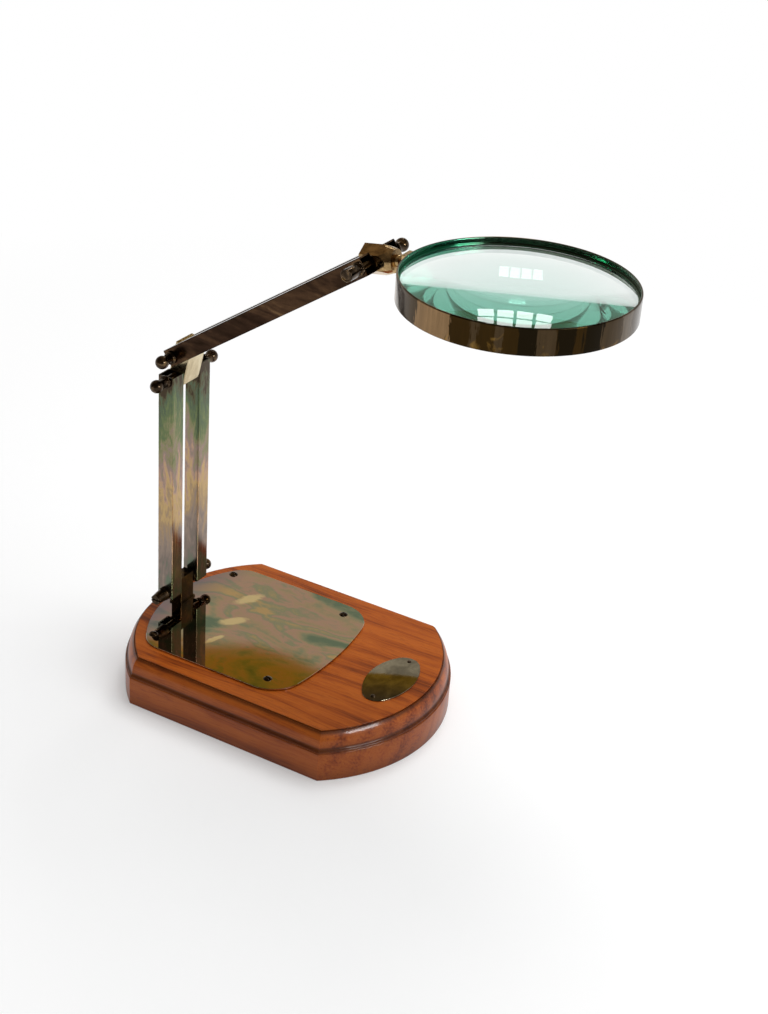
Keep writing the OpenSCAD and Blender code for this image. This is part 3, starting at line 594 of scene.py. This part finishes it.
def swept_ring(name, loop, middle, radius, finish, steps):
    """A closed profile of (out from radius, up), in millimetres, swept round an upright axis by a rule."""
    tree, given = new_rule(name + "_rule", {"Path Radius": "Float", "Steps": "Int", "Middle": "Vector",
                                            "Finish": "Material"})
    section = node(tree, "GeometryNodeMeshToCurve", {"Mesh": given["Geometry"]})
    path = node(tree, "GeometryNodeCurvePrimitiveCircle", {
        "Resolution": given["Steps"], "Radius": given["Path Radius"]})
    wall = node(tree, "GeometryNodeCurveToMesh", {"Curve": path, "Profile Curve": section})
    moved = node(tree, "GeometryNodeTransform", {"Geometry": wall, "Translation": given["Middle"]})
    end_rule(tree, moved, given["Finish"])
    mesh = bpy.data.meshes.new(name)
    mesh.from_pydata([(out * MM, -up * MM, 0) for out, up in loop],
                     [(i, (i + 1) % len(loop)) for i in range(len(loop))], [])
    host = placed(name, mesh, RING_SHARP)
    by_rule("sweep", tree, host, {"Path Radius": radius * MM, "Steps": steps,
                                  "Middle": Vector(middle) * MM, "Finish": finish})
    work = bmesh.new()
    work.from_mesh(host.data)
    bmesh.ops.remove_doubles(work, verts=work.verts, dist=SAME_POINT)
    bmesh.ops.recalc_face_normals(work, faces=work.faces)
    for face in work.faces:
        face.smooth = True
    work.to_mesh(host.data)
    work.free()
    host.data.set_sharp_from_angle(angle=math.radians(RING_SHARP))
    return host


def planted(name, template, places, seed, finish):
    """Copies of a head at places, each turned by its own fixed random angle, by a rule."""
    tree, given = new_rule(name + "_rule", {"Head": "Object", "Turn Seed": "Int", "Finish": "Material"})
    head = node(tree, "GeometryNodeObjectInfo", {"Object": given["Head"]}, "Geometry")
    most_turned = (0, 0, math.pi)
    turn = node(tree, "FunctionNodeRandomValue", {"Seed": given["Turn Seed"], 1: most_turned},
                data_type="FLOAT_VECTOR")
    heads = node(tree, "GeometryNodeInstanceOnPoints", {
        "Points": given["Geometry"], "Instance": head, "Rotation": turn})
    end_rule(tree, heads, given["Finish"])
    host = mesh_object(name, places, [], finish)
    by_rule("planting", tree, host, {"Head": template, "Turn Seed": seed, "Finish": finish})
    bpy.data.objects.remove(template)
    return host


def base_profile():
    """The moulding from the underside up to the flat top, as (inset, height)."""
    cove_start = -math.degrees(math.acos((FILLET_IN - COVE_AT + COVE_H) / COVE_H))
    ovolo_end = 180 - math.degrees(math.asin(OVOLO_H / OVOLO_R))
    return (arc((EASE_R, EASE_R), EASE_R, 270, 180, 4)
            + arc((EASE_R, PLINTH_H - EASE_R), EASE_R, 180, 90, 4)
            + [(FILLET_IN, COVE_Z)]
            + arc((COVE_AT - COVE_H, OVOLO_Z), COVE_H, cove_start, 0, 5)
            + arc((COVE_AT + OVOLO_R, OVOLO_Z), OVOLO_R, 180, ovolo_end, 12)[1:]
            + [(TOP_AT, QUIRK_Z), (TOP_AT, BASE_HIGH.z)])


def base_outline(inset, height, end_steps=72, side_steps=8):
    """The base's outline moved in by inset, always with the same count of points."""
    half, reach = BASE_HIGH.y - inset, END_R - inset
    corner = math.degrees(math.asin(half / reach))
    front = arc((END_X, 0), reach, -corner, corner, end_steps)
    points = []
    for turn in (1, -1):
        end = [(turn * x, turn * y) for x, y in front]
        side_end = -turn * front[0][0]
        points += end + [(end[-1][0] + (side_end - end[-1][0]) * i / side_steps, end[-1][1])
                         for i in range(1, side_steps)]
    return [Vector((x, y, height)) * MM for x, y in points]


def wooden_base(finish):
    """The moulded base, with the post bolt's counterbore in its underside."""
    outlines = [base_outline(inset, height) for inset, height in base_profile()]
    count = len(outlines[0])
    rings = [[k * count + i for i in range(count)] for k in range(len(outlines))]
    faces = [rings[0][::-1]] + bands(rings) + [rings[-1]]
    points = [point for ring in outlines for point in ring]
    made = mesh_object("moulded_wooden_base", points, faces, finish, WOOD_SHARP)
    washer_low, washer_high = size_of("post_bolt_washer")
    middle = ((washer_low.x + washer_high.x) / 2 * MM, 0, 0)
    drill = turned("counterbore", [(0, -1), (COUNTERBORE_R, -1), (COUNTERBORE_R, COUNTERBORE_H),
                                   (0, COUNTERBORE_H)], middle, (0, 0, 1), finish, NUT_FACES)
    cut_out(made, drill, WOOD_SHARP)
    ease_edges(made, WOOD_EASE, WOOD_SHARP)
    stand_for(made, "base", "wood_base")


def thin_plate(name, outline, middle, underside, face, finish, rings=20, round_t=0.25):
    """A thin plate with a rounded rim. underside and face give its heights at (x, y), in millimetres."""
    reach = max((Vector(p) - Vector(middle)).length for p in outline)
    rim = 1 - round_t / reach
    layers = [(rim * i / rings, underside, 0.0) for i in range(rings + 1)]
    layers += [(1.0, underside, round_t), (1.0, face, -round_t)]
    layers += [(rim * i / rings, face, 0.0) for i in range(rings, -1, -1)]
    points, numbers = [], []
    for share, height, more in layers:
        ring = outline if share else outline[:1]
        numbers.append([len(points) + i % len(ring) for i in range(len(outline))])
        for x, y in ring:
            x, y = middle[0] + (x - middle[0]) * share, middle[1] + (y - middle[1]) * share
            points.append(Vector((x, y, height(x, y) + more)) * MM)
    return mesh_object(name, points, bands(numbers), finish, RING_SHARP)


def bowed_end(reach, half_w, end_r, corner_r):
    """Half an outline, round a bowed end whose corners meet the side and the bow smoothly."""
    across, bow_x = half_w - corner_r, reach - end_r
    corner_x = bow_x + math.sqrt((end_r - corner_r) ** 2 - across ** 2)
    meet = math.degrees(math.atan2(across, corner_x - bow_x))
    return (arc((corner_x, -across), corner_r, -90, -meet, 16)[:-1]
            + arc((bow_x, 0), end_r, -meet, meet, 40)[:-1]
            + arc((corner_x, across), corner_r, meet, 90, 16))


def brass_plate(finish):
    """The sheet brass plate under the post, whose front end stands a little proud of the wood."""
    middle_x = (PLATE_LOW.x + PLATE_HIGH.x) / 2
    reach, half_w = PLATE_HIGH.x - middle_x, PLATE_HIGH.y
    front = bowed_end(reach, half_w, PLATE_FRONT_R, PLATE_FRONT_CORNER_R)
    back = [(-x, -y) for x, y in bowed_end(reach, half_w, PLATE_BACK_R, PLATE_BACK_CORNER_R)]
    outline = [(middle_x + x, y) for x, y in front + back]

    def underside(x, y):
        return PLATE_LOW.z + PLATE_SPRING * ((x - PLATE_LOW.x) / (2 * reach)) ** 4

    def face(x, y):
        return underside(x, y) + PLATE_HIGH.z - PLATE_LOW.z

    made = thin_plate("sheet_brass_plate", outline, (middle_x, 0), underside, face, finish)
    stand_for(made, "base", "brass_plate")


def oval_plate(finish):
    """The small domed plate near the front end, left bare."""
    middle_x = (OVAL_LOW.x + OVAL_HIGH.x) / 2
    half_w, tip_y = OVAL_HIGH.x - middle_x, OVAL_HIGH.y - OVAL_TIP_R
    flat_r = (tip_y ** 2 + half_w ** 2 - OVAL_TIP_R ** 2) / (2 * (half_w - OVAL_TIP_R))
    off = flat_r - half_w
    meet = math.degrees(math.atan2(tip_y, off))
    front = (arc((-off, 0), flat_r, -meet, meet, 28)[:-1]
             + arc((0, tip_y), OVAL_TIP_R, meet, 180 - meet, 24)[:-1])
    outline = [(middle_x + turn * x, turn * y) for turn in (1, -1) for x, y in front]
    dome = OVAL_HIGH.z - OVAL_LOW.z - OVAL_RIM_T
    face_r = (OVAL_HIGH.y ** 2 + dome ** 2) / (2 * dome)

    def underside(x, y):
        return OVAL_LOW.z

    def face(x, y):
        return OVAL_HIGH.z - face_r + math.sqrt(face_r ** 2 - (x - middle_x) ** 2 - y ** 2)

    made = thin_plate("bare_oval_plate", outline, (middle_x, 0), underside, face, finish, rings=12,
                      round_t=0.2)
    stand_for(made, "base", "oval_plate")


def domed_head(shank_r, shank_l, head_r, head_h, finish):
    """A screw or pin with its head's underside at the origin."""
    cap_r = (head_r ** 2 + head_h ** 2) / (2 * head_h)
    spread = math.degrees(math.asin(head_r / cap_r))
    dome = [(max(x, 0.0), y) for x, y in arc((0, head_h - cap_r), cap_r, 90 - spread, 90, 10)]
    shank = [(0, -shank_l), (shank_r, -shank_l), (shank_r, 0), (head_r, 0)]
    return turned("domed_head", shank + dome[1:], (0, 0, 0), (0, 0, 1), finish, SCREW_FACES)


def slot_cutter(head_r, head_h, finish):
    """A bar across a head, from the slot's floor to above the head."""
    corners = [(x, y, z) for x in (-head_r, head_r) for y in (-SLOT_W / 2, SLOT_W / 2)
               for z in (head_h - SLOT_D, head_h + 1)]
    sides = [(0, 1, 3, 2), (4, 6, 7, 5), (0, 4, 5, 1), (2, 3, 7, 6), (0, 2, 6, 4), (1, 5, 7, 3)]
    return mesh_object("slot_cutter", [Vector(corner) * MM for corner in corners], sides, finish)


def plate_screws(finish):
    """The four slotted wood screws of the brass plate."""
    low, high = size_of("plate_screws")
    places = [Vector((x, y, PLATE_HIGH.z)) * MM for x in (low.x + SCREW_HEAD_R, high.x - SCREW_HEAD_R)
              for y in (low.y + SCREW_HEAD_R, high.y - SCREW_HEAD_R)]
    head = domed_head(SCREW_R, SCREW_L, SCREW_HEAD_R, SCREW_HEAD_H, finish)
    cut_out(head, slot_cutter(SCREW_HEAD_R, SCREW_HEAD_H, finish), PLAIN_SHARP)
    stand_for(planted("domed_plate_screws", head, places, SCREW_TURN_SEED, finish), "base", "plate_screws")


def oval_pins(finish):
    """The two pins of the oval plate."""
    low, high = size_of("oval_plate_pins")
    places = [Vector(((low.x + high.x) / 2, y, high.z - PIN_HEAD_H)) * MM
              for y in (low.y + PIN_HEAD_R, high.y - PIN_HEAD_R)]
    head = domed_head(PIN_R, PIN_L, PIN_HEAD_R, PIN_HEAD_H, finish)
    pins = planted("oval_plate_pin_heads", head, places, PIN_TURN_SEED, finish)
    stand_for(pins, "base", "oval_plate_pins")


def nut_shoulder():
    """A nut's shoulder against the tube, in to its neck."""
    neck_start = NUT_START + SHOULDER_T
    return [(0, NUT_START), (SHOULDER_R, NUT_START), (SHOULDER_R, neck_start),
            (NECK_R, neck_start + SHOULDER_BEVEL)]


def ball_nut_profile(reach, ball_r):
    """A nut with a neck and a ball end."""
    waist = reach - math.sqrt(ball_r ** 2 - NECK_R ** 2)
    root = softened(nut_shoulder() + [(NECK_R, waist)], NUT_EASE)
    start = -math.degrees(math.acos(NECK_R / ball_r))
    return root[:-1] + [(max(x, 0.0), y) for x, y in arc((0, reach), ball_r, start, 90, 24)]


def flat_nut_profile():
    """A nut with a flat dished end."""
    grip = FLAT_NUT_END - FLAT_NUT_GRIP
    dish_r, dish = FLAT_NUT_R - FLAT_NUT_RIM, FLAT_NUT_END - FLAT_NUT_DISH
    end = [(NECK_R, grip - FLAT_NUT_BEVEL), (FLAT_NUT_R, grip), (FLAT_NUT_R, FLAT_NUT_END),
           (dish_r, FLAT_NUT_END), (dish_r - 0.2, dish), (0, dish)]
    return softened(nut_shoulder() + end, NUT_EASE)


def joined(name, pieces):
    """Several turned pieces of one body as one object."""
    work = bmesh.new()
    for piece in pieces:
        work.from_mesh(piece.data)
    mesh = bpy.data.meshes.new(name)
    mesh.materials.append(pieces[0].data.materials[0])
    work.to_mesh(mesh)
    work.free()
    for piece in pieces:
        bpy.data.objects.remove(piece)
    return placed(name, mesh, NUT_SHARP)


def nuts(finish):
    """The eight nuts of the four pivots."""
    long_nut = ball_nut_profile(BALL_NUT_REACH, BALL_NUT_R)
    short_nut = ball_nut_profile(SHORT_NUT_REACH, SHORT_NUT_R)
    far, near = (0, 1, 0), (0, -1, 0)
    for pivot, cad_node in (("elbow_lower", "elbow_lower_knobs"), ("elbow_upper", "elbow_upper_knobs")):
        pair = [turned("ball_nut", long_nut, PIVOT[pivot], side, finish, NUT_FACES)
                for side in (far, near)]
        stand_for(joined(pivot + "_ball_nuts", pair), "elbow", cad_node)
    for name, profile, pivot, side, body, cad_node in (
            ("base_round_nut", short_nut, "base_pivot", far, "base", "base_knob_round"),
            ("head_ball_nut", long_nut, "head_tilt", far, "head", "head_knob_round"),
            ("head_flat_nut", flat_nut_profile(), "head_tilt", near, "head", "head_knob_flat")):
        nut = turned(name, profile, PIVOT[pivot], side, finish, NUT_FACES, NUT_SHARP)
        stand_for(nut, body, cad_node)
    slotted = eased_copy("base_slotted_nut", "base_knob_slotted", 0.3, finish)
    stand_for(slotted, "base", "base_knob_slotted")


def ball_joint(finish):
    """The socket collar on the head's nose, and the ball with its neck."""
    nose = (math.cos(HEAD_PITCH), 0, math.sin(HEAD_PITCH))
    centre, bore_r = PIVOT["ball_turn"], BALL_R + BALL_PLAY
    mouth, bore_mouth = (math.degrees(math.asin(COLLAR_MOUTH / r)) for r in (COLLAR_R, bore_r))
    bore_back = -math.degrees(math.asin(BALL_OUT / bore_r))
    loop = ([(COLLAR_R, -BALL_OUT)] + arc((0, 0), COLLAR_R, 0, mouth, 10)
            + arc((0, 0), bore_r, bore_mouth, bore_back, 14))
    collar = turned("ball_socket_collar", loop, centre, nose, finish, NUT_FACES, RING_SHARP, closed=True)
    stand_for(collar, "head", "ball_collar")
    neck_end = size_of("lens_ball")[1].x - centre.x / MM
    meet = math.degrees(math.acos(BALL_NECK_R / BALL_R))
    ball = [(max(x, 0.0), y) for x, y in arc((0, 0), BALL_R, -90, meet, 24)]
    neck = [(BALL_NECK_R, neck_end), (0, neck_end)]
    made = turned("lens_ball_and_neck", ball + neck, centre, (1, 0, 0), finish, NUT_FACES, BALL_SHARP)
    stand_for(made, "ball", "lens_ball")


def lens_ring(finish):
    """The deep ring, whose two rims are rolled into beads."""
    level, wall_steps = RING_H / 2 - BEAD_R, 8
    loop = [(0, -level + 2 * level * i / wall_steps) for i in range(wall_steps)]
    loop += arc((-BEAD_R, level), BEAD_R, 0, 200, 12)
    loop += [(-RING_WALL, level - 2 * level * i / wall_steps) for i in range(1, wall_steps)]
    loop += arc((-BEAD_R, -level), BEAD_R, 160, 350, 12)
    made = swept_ring("rolled_lens_ring", loop, RING_MIDDLE, RING_R, finish, RING_FACES)
    stand_for(made, "lens", "lens_ring")


def retaining_rings(finish):
    """The two rings that hold the lens from above and below."""
    for cad_node in ("upper_retaining_ring", "lower_retaining_ring"):
        low, high = size_of(cad_node)
        corners = [(0, low.z), (0, high.z), (-KEEPER_T, high.z), (-KEEPER_T, low.z)]
        loop = softened(corners[-1:] + corners + corners[:1], KEEPER_EASE)[1:-1]
        middle = (RING_MIDDLE.x, RING_MIDDLE.y, 0)
        keeper = swept_ring(cad_node + "_bar", loop, middle, LENS_R, finish, KEEPER_FACES)
        stand_for(keeper, "lens", cad_node)


def lens(finish):
    """The biconvex lens, with a narrow upright edge."""
    rise = (LENS_HIGH.z - LENS_LOW.z - LENS_EDGE_T) / 2
    face_r = (LENS_R ** 2 + rise ** 2) / (2 * rise)
    spread = math.degrees(math.asin(LENS_R / face_r))
    face = arc((0, LENS_EDGE_T / 2 + rise - face_r), face_r, 90 - spread, 90, 48)
    top = [(max(x, 0.0), y) for x, y in face]
    bottom = [(x, -y) for x, y in reversed(top)]
    middle = (LENS_LOW + LENS_HIGH) / 2 * MM
    made = turned("biconvex_lens", bottom + top, middle, (0, 0, 1), finish, RING_FACES)
    stand_for(made, "lens", "lens_glass")


def milled_and_drawn_pieces(tube, dark_tube, post, link, golden):
    """The pieces that keep their CAD shape, with their edges eased by a width in millimetres."""
    for name, cad_node, body, width, finish, angle in (
            ("milled_post", "base_post", "base", 1.2, post, EASED_FROM),
            ("lower_square_tube_near", "lower_tube_near", "lower_arm", 0.35, tube, EASED_FROM),
            ("lower_square_tube_far", "lower_tube_far", "lower_arm", 0.35, tube, EASED_FROM),
            ("upper_square_tube_near", "upper_tube_near", "upper_arm", 0.35, dark_tube, EASED_FROM),
            ("upper_square_tube_far", "upper_tube_far", "upper_arm", 0.35, dark_tube, EASED_FROM),
            ("milled_elbow_link", "elbow_link", "elbow", 0.3, link, EASED_FROM),
            ("hexagonal_head", "head_block", "head", 0.4, golden, EASED_FROM_ON_HEX),
            ("milled_ring_boss", "ring_boss", "lens", 0.4, golden, EASED_FROM)):
        stand_for(eased_copy(name, cad_node, width, finish, angle), body, cad_node)


def hidden_pieces(post, steel):
    """The pieces inside, which keep the CAD node's own mesh and only get their finish."""
    rods = ("base_rod", "base_washers", "elbow_lower_rod", "elbow_upper_rod", "head_rod", "head_washers",
            "lower_tube_sleeves", "upper_tube_sleeves")
    for finish, cad_nodes in ((steel, ("post_bolt", "post_bolt_washer")), (post, rods)):
        for cad_node in cad_nodes:
            for slot in frame["nodes"][cad_node].material_slots:
                slot.link = "OBJECT"
                slot.material = finish


def photo_camera():
    """The camera at the photograph's place, a little rolled."""
    a, e = CAMERA_AZIMUTH, CAMERA_ELEVATION
    back = Vector((math.sin(a) * math.cos(e), -math.cos(a) * math.cos(e), math.sin(e)))
    level = Vector((math.cos(a), math.sin(a), 0))
    upright = back.cross(level)
    right = level * math.cos(CAMERA_ROLL) + upright * math.sin(CAMERA_ROLL)
    up = upright * math.cos(CAMERA_ROLL) - level * math.sin(CAMERA_ROLL)
    data = bpy.data.cameras.new("photo_camera")
    data.sensor_width = SENSOR_MM
    data.lens = FOCAL_PX * SENSOR_MM / IMAGE_HEIGHT_PX
    made = bpy.data.objects.new("photo_camera", data)
    place = back * CAMERA_DISTANCE + right * CAMERA_ACROSS + up * CAMERA_UP
    made.matrix_world = Matrix.Translation(place) @ Matrix((right, up, back)).transposed().to_4x4()
    bpy.context.scene.collection.objects.link(made)
    bpy.context.scene.camera = made


def soft_lamp(name, place, aim, size, power, mirrored=True, lights_up=True):
    """An area lamp: metal and glass mirror it where mirrored is set, and lights_up lights matt faces."""
    data = bpy.data.lights.new(name, "AREA")
    data.shape = "RECTANGLE"
    data.size, data.size_y = size
    data.energy = power
    made = bpy.data.objects.new(name, data)
    made.location = place
    made.rotation_euler = (Vector(aim) - Vector(place)).to_track_quat("-Z", "Y").to_euler()
    made.visible_glossy = mirrored
    made.visible_transmission = mirrored
    made.visible_diffuse = lights_up
    bpy.context.scene.collection.objects.link(made)


def surroundings():
    """The world: white to the camera and through glass, and a pale backdrop under a dim room elsewhere."""
    world = bpy.data.worlds.new("studio")
    bpy.context.scene.world = world
    world.use_nodes = True
    tree = world.node_tree
    tree.nodes.clear()
    ray = node(tree, "ShaderNodeLightPath").node.outputs
    way = node(tree, "ShaderNodeTexCoord", out="Generated")
    parts = node(tree, "ShaderNodeSeparateXYZ", {0: way}).node.outputs
    room = node(tree, "ShaderNodeValToRGB", {"Fac": parts["Z"]}, stops=ROOM_TINTS)
    in_front = node(tree, "ShaderNodeMapRange", {"Value": parts["Y"], "From Min": 0.1, "From Max": -0.6})
    room = node(tree, "ShaderNodeMix", {0: in_front, 6: room, 7: linear(DIM_FRONT)}, 2, data_type="RGBA")
    seen = node(tree, "ShaderNodeMix", {0: ray["Is Glossy Ray"], 6: linear(SOFT_LIGHT), 7: room}, 2,
                data_type="RGBA")
    through = node(tree, "ShaderNodeMath", {0: ray["Is Camera Ray"], 1: ray["Is Transmission Ray"]},
                   operation="MAXIMUM")
    white = node(tree, "ShaderNodeMix", {0: through, 6: seen, 7: linear(WHITE)}, 2, data_type="RGBA")
    sky = node(tree, "ShaderNodeBackground", {"Color": white, "Strength": 1.0})
    node(tree, "ShaderNodeOutputWorld", {"Surface": sky})


def white_table():
    """A sheet of white paper that keeps the shadow and fades into the white background further out."""
    paper = bpy.data.materials.new("white_table_paper")
    paper.use_nodes = True
    tree = paper.node_tree
    tree.nodes.clear()
    matte = node(tree, "ShaderNodeBsdfDiffuse", {"Color": linear("#DADADA")})
    glow = node(tree, "ShaderNodeEmission", {"Color": linear(WHITE), "Strength": TABLE_GLOW})
    lit = node(tree, "ShaderNodeAddShader", {0: matte, 1: glow})
    white = node(tree, "ShaderNodeEmission", {"Color": linear(WHITE), "Strength": 1.0})
    place = node(tree, "ShaderNodeTexCoord", out="Object")
    away = node(tree, "ShaderNodeVectorMath", {0: place}, "Value", operation="LENGTH")
    far = node(tree, "ShaderNodeMapRange", {
        "Value": away, "From Min": TABLE_FADES_FROM, "From Max": TABLE_WHITE_FROM})
    seen = node(tree, "ShaderNodeMixShader", {0: far, 1: lit, 2: white})
    node(tree, "ShaderNodeOutputMaterial", {"Surface": seen})
    corners = [(x * TABLE_REACH, y * TABLE_REACH, 0) for x, y in ((-1, -1), (1, -1), (1, 1), (-1, 1))]
    mesh_object("white_table", corners, [(0, 1, 2, 3)], paper)


def lamps():
    """Two softboxes that light the matt faces, a side window to mirror, and the window behind."""
    soft_lamp("overhead_softbox", place=(0.3, 0.7, 2.1), aim=(0, 0, 0.1), size=(1.6, 1.2), power=34,
              mirrored=False)
    soft_lamp("side_softbox", place=(2.0, 0.3, 1.7), aim=(0.1, 0, 0.1), size=(1.0, 0.8), power=10,
              mirrored=False)
    soft_lamp("side_window", place=(1.8, -0.3, 0.95), aim=(0.1, 0, 0.03), size=(0.8, 0.35), power=25,
              lights_up=False)
    lens_at = RING_MIDDLE * MM
    toward = Vector((math.sin(WINDOW_AZIMUTH) * math.cos(WINDOW_ELEVATION),
                     math.cos(WINDOW_AZIMUTH) * math.cos(WINDOW_ELEVATION), math.sin(WINDOW_ELEVATION)))
    across = toward.cross(Vector((0, 0, 1))).normalized()
    up = across.cross(toward)
    for column in range(PANES_ACROSS):
        for row in range(PANES_UP):
            place = (lens_at + toward * WINDOW_DISTANCE
                     + across * (column - (PANES_ACROSS - 1) / 2) * (PANE_W + PANE_BAR)
                     + up * (row - (PANES_UP - 1) / 2) * (PANE_H + PANE_BAR))
            soft_lamp("window_pane", place, lens_at, (PANE_W, PANE_H), PANE_WATTS)


def build():
    """All the pieces, each in its finish."""
    nut, post = turned_dark_bronze(), milled_dark_bronze()
    golden, band = golden_brown_brass(), brass_band_with_painted_reflections()
    tube, dark_tube = heat_tinted_brass_tube(), dark_bronze_tube()
    wooden_base(varnished_sheesham())
    brass_plate(tarnished_sheet_brass())
    oval_plate(black_patinated_plate())
    plate_screws(nut)
    oval_pins(nut)
    nuts(nut)
    milled_and_drawn_pieces(tube, dark_tube, post, bright_milled_brass(), golden)
    ball_joint(golden)
    lens_ring(band)
    retaining_rings(band)
    lens(green_crown_glass())
    hidden_pieces(post, oiled_steel())


scene = bpy.context.scene
scene.view_settings.view_transform = "Standard"
# Light is turned back up to eight times inside the lens before it leaves
scene.cycles.glossy_bounces = 12
scene.cycles.transmission_bounces = 12
scene.cycles.max_bounces = 16
photo_camera()
surroundings()
white_table()
lamps()
build()
